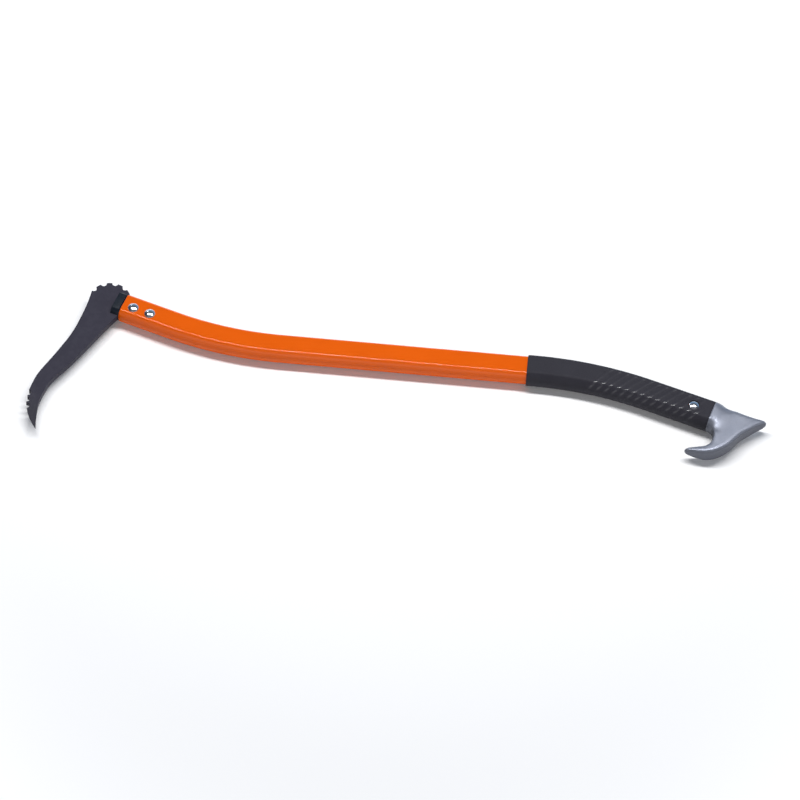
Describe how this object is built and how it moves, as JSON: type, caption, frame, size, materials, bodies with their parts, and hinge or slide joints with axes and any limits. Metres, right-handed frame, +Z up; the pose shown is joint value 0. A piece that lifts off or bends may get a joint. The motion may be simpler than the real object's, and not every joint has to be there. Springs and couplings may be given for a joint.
{
  "type": "pickaroon",
  "caption": "Hand pickaroon: a pointed steel log hook with a toothed crown, riveted to a gently curved flat-oval tube with a ribbed grip and a claw-shaped end piece.",
  "frame": {"origin": "on the surface that the tool lies on, under the middle of its whole extent", "axes": "+X along the straight middle of the handle, from the hook to the grip; +Y away from the hook's tip; +Z up, through the thickness of the tool lying on its side"},
  "size_m": [0.7952, 0.198, 0.0265],
  "materials": {
    "orange_paint": "glossy orange paint on an aluminium tube",
    "dark_steel": "satin dark coating on forged steel",
    "black_plastic": "moulded black plastic",
    "bright_rivet": "polished plated steel",
    "black_rubber": "matt black rubber with slanted ribs",
    "grey_casting": "satin grey finish on a light-alloy casting"
  },
  "bodies": {
    "root": {"handle_tube": "orange_paint", "hook_blade": "dark_steel", "tang_shell_upper": "black_plastic", "tang_shell_lower": "black_plastic", "hook_rivet_front": "bright_rivet", "hook_rivet_rear": "bright_rivet", "grip_sleeve": "black_rubber", "end_claw": "grey_casting", "grip_rivet": "bright_rivet"}
  },
  "joints": []
}
